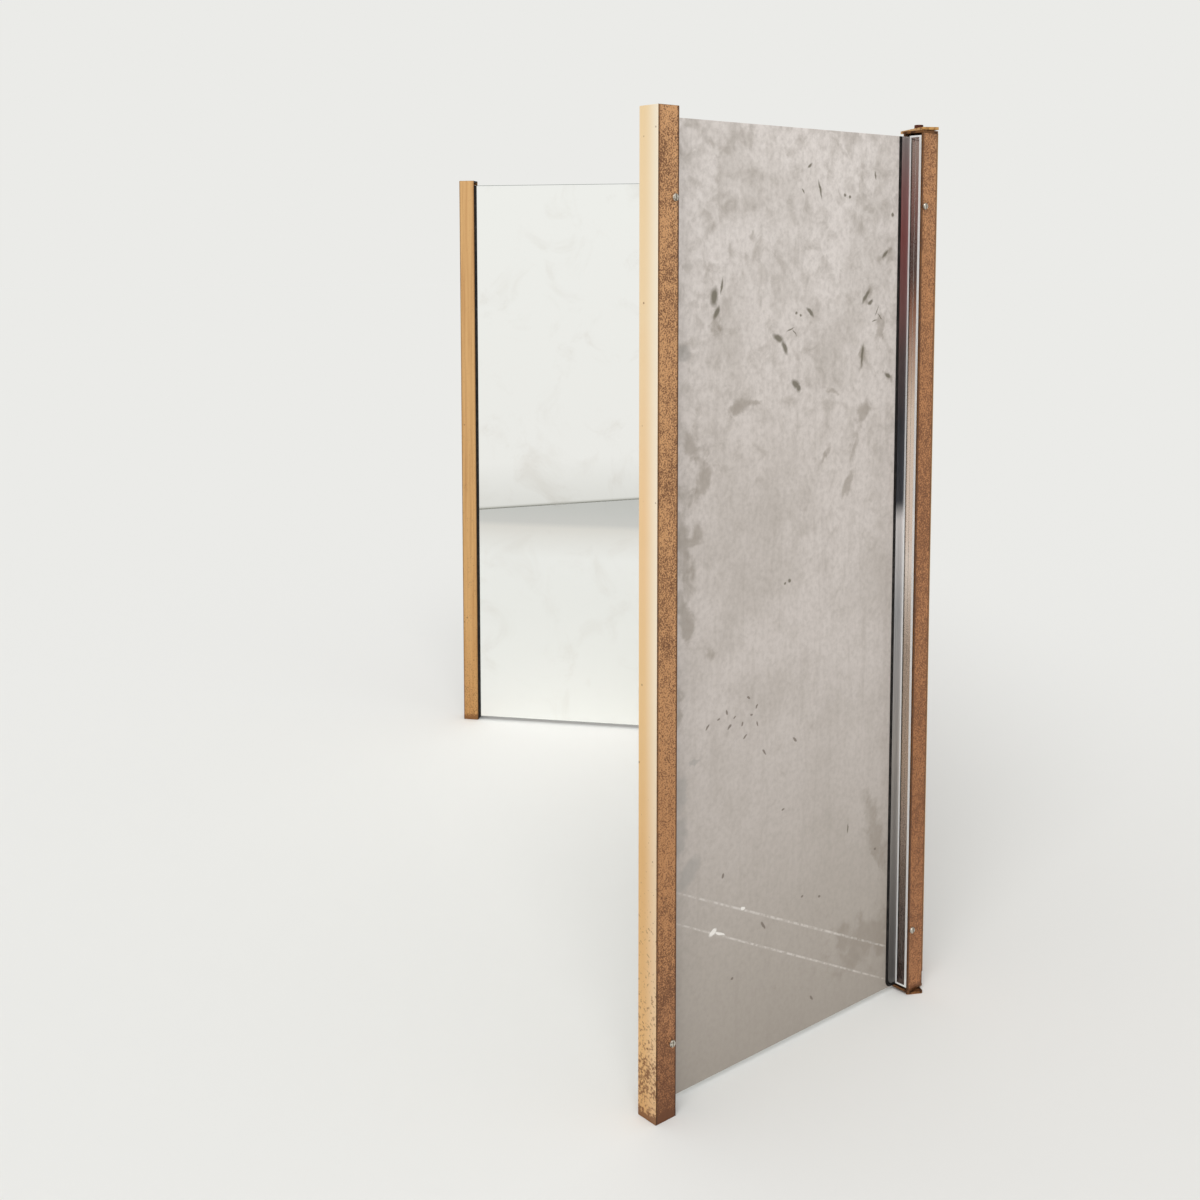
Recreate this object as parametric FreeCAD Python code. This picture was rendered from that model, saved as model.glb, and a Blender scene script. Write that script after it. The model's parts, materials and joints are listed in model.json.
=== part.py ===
import FreeCAD, Part
import os

# A three-panel folding mirror that stands on the ends of its brass channels.
# A wide centre panel carries a narrower wing on each side. Each panel is a mirror pane
# whose upright edges sit in brass channels, and whose top and bottom edges are bare.
# Lengths are in millimetres and angles in degrees.
#
# Every piece is drawn in the frame of one hinge: x runs out from the hinge axis, along the
# panel, y runs from the mirror side to the back, and z runs up from the floor.

# Overall sizes
overall_height = 750.0
wing_width = 320.0
hinge_span = 695.0
right_rest_fold = 61.5
left_rest_fold = 67.5

# Brass channel that grips each upright edge
channel_depth = 20.0
flange_width = 20.5
channel_wall = 1.5
channel_corner = 0.8
wing_axis_gap = 1.5
centre_axis_gap = 6.0
axis_proud = 1.0

# Mirror pane and its grey back sheet
glass_thickness = 3.0
back_thickness = 0.4
pane_top_margin = 6.5
pane_bottom_clearance = 0.35

# Rubber edge seal, chrome clamp strip and chrome retainer inside a channel
seal_lip = 0.4
seal_web = 1.0
seal_front_reach = 3.5
seal_back_reach = 12.0
seal_corner = 7.0
strip_thickness = 0.8
strip_reach = 9.0
strip_corner = 5.0
strip_foot_inset = 3.0
retainer_fin = 2.2
retainer_front_fin = 1.6
retainer_end_wall = 1.6
retainer_foot_inset = 1.5
retainer_head_rise = 0.8
retainer_gap = 0.1

# Slotted round-head screws through the back flange into the retainer
screw_radius = 1.5
screw_head_radius = 2.9
screw_head_height = 1.9
screw_head_round = 1.4
screw_slot_width = 0.8
screw_slot_depth = 0.8
screw_hole_gap = 0.1
screw_thread_gap = 0.05
screw_tip_gap = 0.3
screw_flange_inset = 4.3
screw_top_inset = 64.5
screw_bottom_inset = 58.5

# Hinge straps, hinge plates, washers and pivot pins
strap_thickness = 2.2
strap_rise = 1.0
strap_outer_reach = 27.2
strap_inner_reach = 18.0
strap_front_reach = 9.0
strap_back_reach = 6.0
strap_corner = 1.5
hinge_plate = 2.0
ear_radius = 4.5
ear_wall = 2.5
washer_thickness = 0.4
washer_inset = 0.3
axial_play = 0.05
pin_running_gap = 0.05
washer_bore_gap = 0.1
pin_end_gap = 0.1
pin_foot_recess = 0.3
pin_head_inset = 0.75
pin_head_height = 4.0
pin_head_round = 0.6

# Black plugs let into the ends of the free channels
cap_thickness = 2.0
cap_mouth_inset = 0.5

# Places that follow from the sizes above, in a hinge's frame
web_face = wing_axis_gap
web_inside = web_face + channel_wall
flange_edge = web_face + flange_width
front_face = axis_proud
back_face = front_face + channel_depth
front_inside = front_face + channel_wall
back_inside = back_face - channel_wall
glass_front = front_inside + seal_lip
glass_back = glass_front + glass_thickness
sheet_back = glass_back + back_thickness
strip_front = sheet_back + seal_lip
strip_back = strip_front + strip_thickness
retainer_back = back_inside - retainer_gap
pane_edge = web_inside + seal_web
wing_mirror = wing_width + 2 * web_face
centre_shift = centre_axis_gap - wing_axis_gap

pin_radius = ear_radius - ear_wall
pin_head_radius = ear_radius - pin_head_inset
washer_radius = ear_radius - washer_inset
washer_head = strap_thickness + washer_thickness
hinge_plate_foot = washer_head + axial_play
hinge_channel_foot = hinge_plate_foot + hinge_plate
pane_foot = hinge_channel_foot + pane_bottom_clearance
pane_head = overall_height - pane_top_margin
hinge_head = overall_height + strap_rise
screw_heights = (screw_bottom_inset, overall_height - screw_top_inset)
screw_across = flange_edge - screw_flange_inset

X_AXIS = FreeCAD.Vector(1, 0, 0)
Y_AXIS = FreeCAD.Vector(0, 1, 0)
Z_AXIS = FreeCAD.Vector(0, 0, 1)
ORIGIN = FreeCAD.Vector(0, 0, 0)


def block(x, y, z):
    """A box between two values on each axis."""
    corner = FreeCAD.Vector(x[0], y[0], z[0])
    return Part.makeBox(x[1] - x[0], y[1] - y[0], z[1] - z[0], corner)


def disc(radius, z):
    """A round upright post on the hinge axis."""
    return Part.makeCylinder(radius, z[1] - z[0], FreeCAD.Vector(0, 0, z[0]), Z_AXIS)


def rounded(solid, radius, direction, wanted):
    """Round the straight edges along one direction whose middle is wanted."""
    chosen = []
    for edge in solid.Edges:
        along = edge.lastVertex().Point - edge.firstVertex().Point
        if along.Length > 0 and abs(along.normalize().dot(direction)) > 0.999:
            if wanted(edge.CenterOfMass):
                chosen.append(edge)
    return solid.makeFillet(radius, chosen)


def from_top(solid, head):
    """The same piece turned over, from the foot of the mirror to a height at its top."""
    return solid.mirror(FreeCAD.Vector(0, 0, head / 2), Z_AXIS)


def at_free_edge(solid):
    """The same piece at the far edge of a wing."""
    return solid.mirror(FreeCAD.Vector(wing_mirror / 2, 0, 0), X_AXIS)


def channel(z):
    """Square brass channel, open towards the middle of the panel, drilled for its screws."""
    body = block((web_face, flange_edge), (front_face, back_face), z)
    body = rounded(body, channel_corner, Z_AXIS, lambda p: abs(p.x - web_face) < channel_corner)
    body = body.cut(block((web_inside, flange_edge + channel_wall), (front_inside, back_inside), z))
    for height in screw_heights:
        body = body.cut(cross_hole(screw_radius + screw_hole_gap, height))
    return body


def cross_hole(radius, height):
    """A bore from the back of the panel to the retainer's groove, at one screw's place."""
    start = FreeCAD.Vector(screw_across, retainer_back - retainer_fin, height)
    return Part.makeCylinder(radius, back_face - start.y, start, Y_AXIS)


def seal():
    """Rubber edging folded round the pane's upright edge, its long back lip cut round at the foot."""
    z = (pane_foot, pane_head)
    back_end = flange_edge + seal_back_reach
    back_lip = block((web_inside, back_end), (sheet_back, strip_front), z)
    back_lip = rounded(back_lip, seal_corner, Y_AXIS, lambda p: p.x > flange_edge and p.z < pane_head)
    front_lip = block((web_inside, flange_edge + seal_front_reach), (front_inside, glass_front), z)
    web = block((web_inside, pane_edge), (front_inside, strip_front), z)
    return back_lip.fuse(front_lip).fuse(web).removeSplitter()


def clamp_strip():
    """Flat chrome strip that presses the seal on the back of the pane, cut round at the foot."""
    z = (pane_foot + strip_foot_inset, pane_head)
    body = block((web_inside, flange_edge + strip_reach), (strip_front, strip_back), z)
    return rounded(body, strip_corner, Y_AXIS, lambda p: p.x > flange_edge and p.z < pane_head)


def retainer():
    """Chrome channel with closed ends that fills the brass channel behind the strip."""
    z = (pane_foot + retainer_foot_inset, pane_head + retainer_head_rise)
    body = block((web_inside, flange_edge), (strip_back, retainer_back), z)
    groove_x = (web_inside + retainer_fin, flange_edge + retainer_fin)
    groove_y = (strip_back + retainer_front_fin, retainer_back - retainer_fin)
    groove_z = (z[0] + retainer_end_wall, z[1] - retainer_end_wall)
    body = body.cut(block(groove_x, groove_y, groove_z))
    for height in screw_heights:
        body = body.cut(cross_hole(screw_radius + screw_thread_gap, height))
    return body


def screw(height):
    """Slotted round-head screw, seated on the back flange."""
    tip = retainer_back - retainer_fin + screw_tip_gap
    shank_start = FreeCAD.Vector(screw_across, tip, height)
    shank = Part.makeCylinder(screw_radius, back_face - tip, shank_start, Y_AXIS)
    seat = FreeCAD.Vector(screw_across, back_face, height)
    head = Part.makeCylinder(screw_head_radius, screw_head_height, seat, Y_AXIS)
    crown = back_face + screw_head_height
    rim = [edge for edge in head.Edges if abs(edge.CenterOfMass.y - crown) < screw_tip_gap]
    rim = [edge for edge in rim if edge.isClosed()]
    head = head.makeFillet(screw_head_round, rim)
    slot_x = (screw_across - screw_slot_width / 2, screw_across + screw_slot_width / 2)
    slot_z = (height - screw_head_radius, height + screw_head_radius)
    head = head.cut(block(slot_x, (crown - screw_slot_depth, crown), slot_z))
    return head.fuse(shank).removeSplitter()


def screws(free_edge):
    """The screws of one channel, at the hinge or at the wing's free edge."""
    solids = [screw(height) for height in screw_heights]
    if free_edge:
        solids = [at_free_edge(solid) for solid in solids]
    return solids


def hinge_plate_solid():
    """Plate under a wing channel's foot, with an ear pressed on the pivot pin."""
    z = (hinge_plate_foot, hinge_channel_foot)
    tongue = block((web_face, flange_edge), (front_face, back_face), z)
    body = tongue.fuse(disc(ear_radius, z)).removeSplitter()
    return body.cut(disc(pin_radius, z))


def hinge_strap():
    """Strap under a centre channel's foot, reaching out below the wing, that turns on the pivot pin."""
    z = (0, strap_thickness)
    body = block((-strap_outer_reach, strap_inner_reach), (-strap_front_reach, strap_back_reach), z)
    body = rounded(body, strap_corner, Z_AXIS, lambda p: True)
    return body.cut(disc(pin_radius + pin_running_gap, z))


def washer():
    """Thin washer on the strap, below the hinge plate."""
    z = (strap_thickness, washer_head)
    return disc(washer_radius, z).cut(disc(pin_radius + washer_bore_gap, z))


def foot_pin():
    """Lower pivot pin, short of the strap's underside."""
    return disc(pin_radius, (pin_foot_recess, hinge_channel_foot - pin_end_gap))


def head_pin():
    """Upper pivot pin with a low round head that runs on the strap."""
    seat = hinge_head + axial_play
    shank = disc(pin_radius, (hinge_head - hinge_channel_foot + pin_end_gap, seat))
    crown = seat + pin_head_height
    head = disc(pin_head_radius, (seat, crown))
    rim = [edge for edge in head.Edges if edge.isClosed() and edge.CenterOfMass.z > crown - pin_head_round]
    head = head.makeFillet(pin_head_round, rim)
    return shank.fuse(head).removeSplitter()


def free_cap():
    """Black plug let in flush at the foot of a wing's free channel."""
    x = (web_inside, flange_edge - cap_mouth_inset)
    return at_free_edge(block(x, (front_inside, back_inside), (0, cap_thickness)))


def wing_pieces():
    """All pieces of one wing, laid flat to the right of its hinge axis."""
    pane_x = (pane_edge, wing_mirror - pane_edge)
    pane_z = (pane_foot, pane_head)
    edging = {"edge_seal": seal(), "clamp_strip": clamp_strip(), "retainer": retainer()}
    pieces = {
        "hinge_channel": channel((hinge_channel_foot, hinge_head - hinge_channel_foot)),
        "free_channel": at_free_edge(channel((0, overall_height))),
        "mirror_pane": block(pane_x, (glass_front, glass_back), pane_z),
        "back_sheet": block(pane_x, (glass_back, sheet_back), pane_z),
        "lower_hinge_plate": hinge_plate_solid(),
        "upper_hinge_plate": from_top(hinge_plate_solid(), hinge_head),
        "lower_pivot_pin": foot_pin(),
        "upper_pivot_pin": head_pin(),
        "lower_end_cap": free_cap(),
        "upper_end_cap": from_top(free_cap(), overall_height),
        "screws": Part.makeCompound(screws(False) + screws(True)),
    }
    for name, solid in edging.items():
        pieces["hinge_" + name] = solid
        pieces["free_" + name] = at_free_edge(solid)
    return pieces


def centre_side_pieces():
    """The pieces at the centre panel's left edge, in the frame of the left hinge."""
    edging = {
        "channel": channel((strap_thickness, hinge_head - strap_thickness)),
        "edge_seal": seal(),
        "clamp_strip": clamp_strip(),
        "retainer": retainer(),
        "screws": Part.makeCompound(screws(False)),
    }
    for solid in edging.values():
        solid.translate(FreeCAD.Vector(centre_shift, 0, 0))
    hinge = {
        "lower_hinge_strap": hinge_strap(),
        "upper_hinge_strap": from_top(hinge_strap(), hinge_head),
        "lower_washer": washer(),
        "upper_washer": from_top(washer(), hinge_head),
    }
    return {**edging, **hinge}


def to_left_hinge(solid):
    """Carry a piece from the hinge's frame to the left hinge, unturned."""
    moved = solid.copy()
    moved.translate(FreeCAD.Vector(-hinge_span / 2, 0, 0))
    return moved


def mirrored(solid):
    """The same piece on the other side of the mirror."""
    return solid.mirror(ORIGIN, X_AXIS)


def right_wing_in_place(solid):
    """Carry a wing piece to the right hinge and fold it forward to its rest angle."""
    moved = solid.copy()
    moved.rotate(ORIGIN, Z_AXIS, -right_rest_fold)
    moved.translate(FreeCAD.Vector(hinge_span / 2, 0, 0))
    return moved


def left_wing_in_place(solid):
    """Carry a wing piece, mirrored, to the left hinge and fold it forward."""
    moved = mirrored(solid)
    moved.rotate(ORIGIN, Z_AXIS, left_rest_fold)
    moved.translate(FreeCAD.Vector(-hinge_span / 2, 0, 0))
    return moved


def all_pieces():
    """Every piece of the mirror at rest, with the hinge axes on the plane y = 0."""
    pieces = {}
    for name, solid in wing_pieces().items():
        pieces["right_wing_" + name] = right_wing_in_place(solid)
        pieces["left_wing_" + name] = left_wing_in_place(solid)
    for name, solid in centre_side_pieces().items():
        left = to_left_hinge(solid)
        pieces["centre_left_" + name] = left
        pieces["centre_right_" + name] = mirrored(left)
    half_pane = hinge_span / 2 - pane_edge - centre_shift
    pane_x = (-half_pane, half_pane)
    pane_z = (pane_foot, pane_head)
    pieces["centre_mirror_pane"] = block(pane_x, (glass_front, glass_back), pane_z)
    pieces["centre_back_sheet"] = block(pane_x, (glass_back, sheet_back), pane_z)
    return pieces


os.makedirs("parts", exist_ok=True)
pieces = all_pieces()

# The origin is on the floor, below the middle of the whole mirror as it stands.
reach = Part.makeCompound(list(pieces.values())).optimalBoundingBox(False, False)
to_origin = FreeCAD.Vector(-reach.Center.x, -reach.Center.y, -reach.ZMin)
for name, solid in pieces.items():
    solid.translate(to_origin)
    solid.exportStep("parts/" + name + ".step")
    print(name, len(solid.Solids), solid.isValid(), round(solid.Volume, 1))
print("hinge axes at x", to_origin.x - hinge_span / 2, to_origin.x + hinge_span / 2, "y", to_origin.y)
print("reach", reach.XLength, reach.YLength, reach.ZLength)
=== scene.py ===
import json
import math

import bmesh
import bpy
from mathutils import Matrix, Vector


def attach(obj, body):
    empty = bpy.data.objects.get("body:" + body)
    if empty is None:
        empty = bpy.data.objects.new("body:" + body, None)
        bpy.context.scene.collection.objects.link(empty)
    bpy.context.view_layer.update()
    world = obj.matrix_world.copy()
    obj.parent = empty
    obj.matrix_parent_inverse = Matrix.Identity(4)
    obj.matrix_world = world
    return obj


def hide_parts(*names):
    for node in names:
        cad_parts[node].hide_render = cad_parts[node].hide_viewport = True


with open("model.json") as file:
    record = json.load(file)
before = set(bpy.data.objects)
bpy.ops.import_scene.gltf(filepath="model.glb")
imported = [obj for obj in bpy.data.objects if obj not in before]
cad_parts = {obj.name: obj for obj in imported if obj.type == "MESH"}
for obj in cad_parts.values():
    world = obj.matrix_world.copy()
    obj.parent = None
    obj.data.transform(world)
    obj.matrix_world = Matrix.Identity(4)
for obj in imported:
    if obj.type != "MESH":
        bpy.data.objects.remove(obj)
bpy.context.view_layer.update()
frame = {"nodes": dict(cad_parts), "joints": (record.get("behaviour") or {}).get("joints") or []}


# Mirror panes. Three sheets of 3 mm float glass, silvered on the back face, cut square
# and ground along the edges. They are slid into the brass channels from above, and the
# whole mirror is built round them.

pane_arris = 0.0006
silver_dust_patch = 0.07
silver_speck_spacing = 0.045
silver_speck_size = 0.0011
ground_edge_grit = 0.0015

# A face or an edge looks straight along an axis from this share of its direction on.
straight_on = 0.99

# Lengths are in metres. A panel is drawn flat: x runs out from its hinge, y from the mirror side
# to the back, z up. A wing's lower limit is flat in line with the centre, which gives its fold.
joints = {joint["child"]: joint for joint in frame["joints"]}
flip = Matrix.Scale(-1, 4, (1, 0, 0))
hinge = {}
fold = {}
for wing, joint in joints.items():
    axis_x, axis_y, _ = joint["pos_m"]
    hinge[wing] = Matrix.Translation((axis_x, axis_y, 0))
    fold[wing] = math.radians(-joint["range_deg"][0])
places = {
    "right_wing": hinge["right_wing"] @ Matrix.Rotation(-fold["right_wing"], 4, "Z"),
    "left_wing": hinge["left_wing"] @ Matrix.Rotation(fold["left_wing"], 4, "Z") @ flip,
    "centre_left": hinge["left_wing"],
    "centre_right": hinge["right_wing"] @ flip,
}


def room_for(node, place):
    """Lowest and highest corner of a CAD node along the axes of its own panel."""
    inward = place.inverted()
    points = [inward @ vertex.co for vertex in frame["nodes"][node].data.vertices]
    return Vector(map(min, zip(*points))), Vector(map(max, zip(*points)))


def block(low, high):
    """A box between two corners."""
    shape = bmesh.new()
    middle = Matrix.Translation((low + high) / 2)
    bmesh.ops.create_cube(shape, size=1.0, matrix=middle @ Matrix.Diagonal((*(high - low), 1)))
    return shape


def soften(shape, edges, radius, segments=2):
    """Round some edges of a shape."""
    bmesh.ops.bevel(shape, geom=edges, offset=radius, segments=segments, profile=0.5,
                    affect="EDGES", material=-1, clamp_overlap=True)
    shape.normal_update()


def hang(shape, name, place, body, node, materials):
    """Carry a finished shape from its panel's axes into the mirror, in place of a CAD node."""
    bmesh.ops.transform(shape, matrix=place, verts=shape.verts)
    bmesh.ops.recalc_face_normals(shape, faces=shape.faces)
    mesh = bpy.data.meshes.new(name)
    shape.to_mesh(mesh)
    shape.free()
    for material in materials:
        mesh.materials.append(material)
    piece = bpy.data.objects.new(name, mesh)
    bpy.context.scene.collection.objects.link(piece)
    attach(piece, body)
    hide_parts(node)


def colour(code):
    """An sRGB hex colour as linear red, green, blue and alpha."""
    parts = [int(code[i:i + 2], 16) / 255 for i in (1, 3, 5)]
    linear = [p / 12.92 if p <= 0.04045 else ((p + 0.055) / 1.055) ** 2.4 for p in parts]
    return (*linear, 1.0)


# A Mix of two colours has its share at input 0, the colours at 6 and 7, and the result at output 2.
def wire(tree, kind, inputs, **settings):
    """Add a shader node, give it its settings, and set or link its inputs."""
    node = tree.nodes.new("ShaderNode" + kind)
    for key, value in settings.items():
        setattr(node, key, value)
    for key, value in inputs.items():
        if isinstance(value, bpy.types.NodeSocket):
            tree.links.new(value, node.inputs[key])
        else:
            node.inputs[key].default_value = value
    return node


def finish_named(name, **values):
    """A new material with one Principled surface, and the values that are the same all over it."""
    material = bpy.data.materials.new(name)
    material.use_nodes = True
    tree = material.node_tree
    surface = tree.nodes["Principled BSDF"]
    for key, value in values.items():
        surface.inputs[key.replace("_", " ")].default_value = value
    spot = wire(tree, "TexCoord", {}).outputs["Object"]
    return material, tree, surface, spot


def specks(tree, spot, spacing, size, core, bare, strength=1.0, fade="LINEAR"):
    """Scattered round specks that are solid within their core; a share of their places stays bare."""
    cell = wire(tree, "TexVoronoi", {"Vector": spot, "Scale": 1 / spacing})
    near = wire(tree, "MapRange", {"Value": cell.outputs["Distance"], "From Min": size / spacing,
                                   "From Max": core * size / spacing, "To Max": strength},
                interpolation_type=fade).outputs["Result"]
    chosen = wire(tree, "Math", {0: cell.outputs["Color"], 1: bare}, operation="GREATER_THAN").outputs[0]
    return wire(tree, "Math", {0: near, 1: chosen}, operation="MULTIPLY").outputs[0]


# Silvered float glass: a clear reflection, dulled here and there by a thin film of dust, with a
# few pinhead specks where the silver has gone.
silvered, tree, surface, spot = finish_named("silvered float glass", Metallic=1.0)
film = wire(tree, "TexNoise", {"Vector": spot, "Scale": 1 / silver_dust_patch, "Detail": 5.0,
                               "Roughness": 0.6, "Distortion": 0.8}).outputs["Fac"]
film = wire(tree, "MapRange", {"Value": film, "From Min": 0.5, "From Max": 0.8},
            interpolation_type="SMOOTHSTEP").outputs["Result"]
speck = specks(tree, spot, silver_speck_spacing, silver_speck_size, core=0.3, bare=0.72)
tone = wire(tree, "Mix", {0: film, 6: colour("#fdfefc"), 7: colour("#f3f2ee")}, data_type="RGBA").outputs[2]
tone = wire(tree, "Mix", {0: speck, 6: tone, 7: colour("#5b4a3c")}, data_type="RGBA").outputs[2]
dull = wire(tree, "MapRange", {"Value": film, "To Min": 0.01, "To Max": 0.035}).outputs["Result"]
tree.links.new(tone, surface.inputs["Base Color"])
tree.links.new(dull, surface.inputs["Roughness"])

# Ground glass edge: grey-green and matt, with a fine grit, drawn coarser than it is so that it shows.
ground_edge, tree, surface, spot = finish_named("ground glass edge", IOR=1.52)
grit = wire(tree, "TexNoise", {"Vector": spot, "Scale": 1 / ground_edge_grit, "Detail": 3.0}).outputs["Fac"]
tone = wire(tree, "Mix", {0: grit, 6: colour("#3f4743"), 7: colour("#7d8782")}, data_type="RGBA").outputs[2]
dull = wire(tree, "MapRange", {"Value": grit, "To Min": 0.25, "To Max": 0.6}).outputs["Result"]
tree.links.new(tone, surface.inputs["Base Color"])
tree.links.new(dull, surface.inputs["Roughness"])

# Each body's panel is drawn in these axes.
panels = {"right_wing": "right_wing", "left_wing": "left_wing", "centre": "centre_left"}
for body, panel in panels.items():
    node = body + "_mirror_pane"
    pane = block(*room_for(node, places[panel]))
    soften(pane, pane.edges, pane_arris)
    for face in pane.faces:
        face.material_index = 0 if face.normal.y < -straight_on else 1
    hang(pane, body + "_silvered_glass", places[panel], body, node, [silvered, ground_edge])


# Grey backs. The silver of each pane is sealed with a sprayed taupe-grey paint, semi-gloss,
# that years of handling have left smeared and wiped; low on the near wing it carries a painted
# reflection of two pale floor lines. The paint lies on the glass and stops at the pane's edges.

paint_corner = 0.00012
paint_cloud = 0.08
paint_lump = 0.016
paint_mottle = 0.004
paint_grain = 0.0011
paint_streak = 0.009
paint_streak_run = 0.09
paint_dot_spacing = 0.03
paint_dot_size = 0.0014
smear_bend = 0.010
stroke_bend = 0.0035
bend_reach = 0.008

# Marks on the near wing's back: place along the panel and up it, length, width and slant.
marked_back = places["right_wing"]
olive_strokes = (
    (0.1800, 0.5805, 0.017, 0.0065, 25), (0.1722, 0.5730, 0.016, 0.0065, 62),
    (0.1590, 0.5435, 0.014, 0.0075, 35), (0.1560, 0.5400, 0.009, 0.0065, 75),
    (0.1431, 0.6001, 0.014, 0.0040, 38), (0.1590, 0.5990, 0.004, 0.0030, 0),
    (0.1540, 0.5975, 0.003, 0.0030, 0), (0.1660, 0.5870, 0.012, 0.0014, -20),
    (0.1610, 0.5840, 0.010, 0.0012, 50), (0.1451, 0.7150, 0.008, 0.0024, -40),
    (0.1326, 0.6967, 0.019, 0.0026, 75), (0.1525, 0.6949, 0.006, 0.0022, 60),
    (0.1028, 0.6927, 0.0040, 0.0036, 0), (0.0965, 0.6920, 0.0040, 0.0036, 0),
    (0.0640, 0.7099, 0.009, 0.0022, 80), (0.0412, 0.6783, 0.0045, 0.0040, 0),
    (0.0600, 0.5990, 0.012, 0.0014, -60), (0.0560, 0.5940, 0.010, 0.0014, 40),
    (0.0630, 0.5910, 0.009, 0.0012, -10), (0.0877, 0.1636, 0.011, 0.0022, -85),
    (0.1643, 0.3863, 0.0045, 0.0040, 0), (0.1691, 0.3849, 0.0030, 0.0026, 0),
    (0.2425, 0.6215, 0.016, 0.0028, -80), (0.2505, 0.6140, 0.019, 0.0095, -80),
    (0.2480, 0.6020, 0.014, 0.0060, -62), (0.0745, 0.6110, 0.018, 0.0048, -52),
    (0.0690, 0.6060, 0.008, 0.0040, -20), (0.0781, 0.5629, 0.024, 0.0038, -84),
    (0.0504, 0.6457, 0.012, 0.0040, -35), (0.0445, 0.5443, 0.010, 0.0040, 20),
)
brown_dashes = (
    (0.2549, 0.2857, 0.007, 0.0026, -50), (0.2339, 0.2934, 0.006, 0.0024, 60),
    (0.2310, 0.2815, 0.007, 0.0028, -40), (0.2168, 0.2810, 0.005, 0.0024, -70),
    (0.2102, 0.3000, 0.006, 0.0024, 40), (0.2008, 0.2916, 0.005, 0.0020, -60),
    (0.2139, 0.2697, 0.006, 0.0024, -30), (0.1995, 0.2773, 0.005, 0.0020, 70),
    (0.1916, 0.2525, 0.008, 0.0022, 50), (0.1556, 0.2555, 0.008, 0.0026, 40),
    (0.2372, 0.1641, 0.005, 0.0030, -60), (0.2262, 0.0771, 0.004, 0.0026, 0),
    (0.1447, 0.1209, 0.004, 0.0028, 0), (0.1231, 0.1147, 0.004, 0.0028, 0),
    (0.1909, 0.1101, 0.010, 0.0034, 60), (0.1318, 0.0293, 0.008, 0.0026, 50),
    (0.1687, 0.2002, 0.004, 0.0024, 0), (0.0513, 0.1357, 0.004, 0.0022, 0),
    (0.2430, 0.2900, 0.004, 0.0020, 0), (0.2260, 0.2880, 0.004, 0.0020, -30),
    (0.2070, 0.2860, 0.004, 0.0020, 0),
)
brown_smears = (
    (0.2490, 0.5950, 0.034, 0.018, -75), (0.0727, 0.6097, 0.034, 0.014, -50),
    (0.0781, 0.5629, 0.050, 0.011, -82), (0.0504, 0.6457, 0.026, 0.012, -35),
    (0.2262, 0.5284, 0.030, 0.016, -10), (0.2055, 0.5317, 0.024, 0.010, -5),
    (0.1160, 0.5356, 0.034, 0.006, 15), (0.0770, 0.5121, 0.050, 0.024, -60),
    (0.0860, 0.4880, 0.050, 0.020, -80), (0.0960, 0.4550, 0.046, 0.012, -60),
    (0.1213, 0.4861, 0.040, 0.008, -55), (0.2600, 0.4747, 0.080, 0.030, -60),
    (0.2740, 0.5050, 0.060, 0.024, -80), (0.0445, 0.5443, 0.026, 0.010, 20),
    (0.2509, 0.3406, 0.026, 0.018, 0), (0.0560, 0.5850, 0.060, 0.016, -80),
    (0.2660, 0.4350, 0.050, 0.022, -40), (0.2098, 0.6598, 0.020, 0.012, -30),
    (0.2830, 0.4300, 0.120, 0.030, 80), (0.2780, 0.3700, 0.070, 0.026, 70),
    (0.0620, 0.0600, 0.150, 0.080, 0), (0.0500, 0.1500, 0.120, 0.040, 70),
    (0.2850, 0.3000, 0.060, 0.016, 85),
)
grey_blots = (
    (0.2830, 0.5723, 0.024, 0.017, 0), (0.2840, 0.2401, 0.036, 0.020, -85),
    (0.2840, 0.2066, 0.040, 0.020, -80), (0.2750, 0.1757, 0.038, 0.022, -50),
    (0.2694, 0.2618, 0.014, 0.007, -10),
)
# Painted reflection on the near back: two pale floor lines low down, as the shine would show them.
reflected_floor_lines = (
    (0.157, 0.1022, 0.560, 0.0030, 25.6), (0.171, 0.0820, 0.560, 0.0026, 26.6),
)
# Painted reflection: pale flecks along those floor lines.
reflected_pale_flecks = (
    (0.2481, 0.1213, 0.010, 0.0055, -20), (0.2146, 0.1307, 0.006, 0.0040, 20),
    (0.2400, 0.1180, 0.016, 0.0022, 26),
)


def marks(tree, spot, ovals):
    """One pattern that is 1 in the middle of each oval mark on the near back and 0 outside them."""
    total = None
    for along, height, length, width, slant in ovals:
        turn = marked_back @ Matrix.Rotation(-math.radians(slant), 4, "Y")
        middle = marked_back @ Vector((along, 0, height))
        own = wire(tree, "Mapping", {"Vector": spot, "Location": middle, "Rotation": turn.to_euler(),
                                     "Scale": (length / 2, 1.0, width / 2)}, vector_type="TEXTURE").outputs[0]
        oval = wire(tree, "TexGradient", {"Vector": own}, gradient_type="SPHERICAL").outputs["Fac"]
        if total is not None:
            oval = wire(tree, "Math", {0: total, 1: oval}, operation="MAXIMUM").outputs[0]
        total = oval
    return total


def upright_lines(tree, spot, width, run, **grain):
    """A pattern drawn out upright, as wiping leaves it, with lines of about a width and a run."""
    stretched = wire(tree, "Mapping", {"Vector": spot, "Scale": (1 / width, 1 / width, 1 / run)}).outputs[0]
    return wire(tree, "TexNoise", {"Vector": stretched, "Scale": 1.0, **grain}).outputs["Fac"]


def shades_along(tree, value, stops):
    """Colours that run into each other along a value: each stop is a reach and a colour."""
    start, end = stops[0][0], stops[-1][0]
    share = wire(tree, "MapRange", {"Value": value, "From Min": start, "From Max": end}).outputs["Result"]
    node = wire(tree, "ValToRGB", {"Fac": share})
    elements = node.color_ramp.elements
    for reach, code in stops[1:-1]:
        elements.new((reach - start) / (end - start)).color = colour(code)
    elements[0].color = colour(stops[0][1])
    elements[-1].color = colour(stops[-1][1])
    return node.outputs["Color"]


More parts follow.
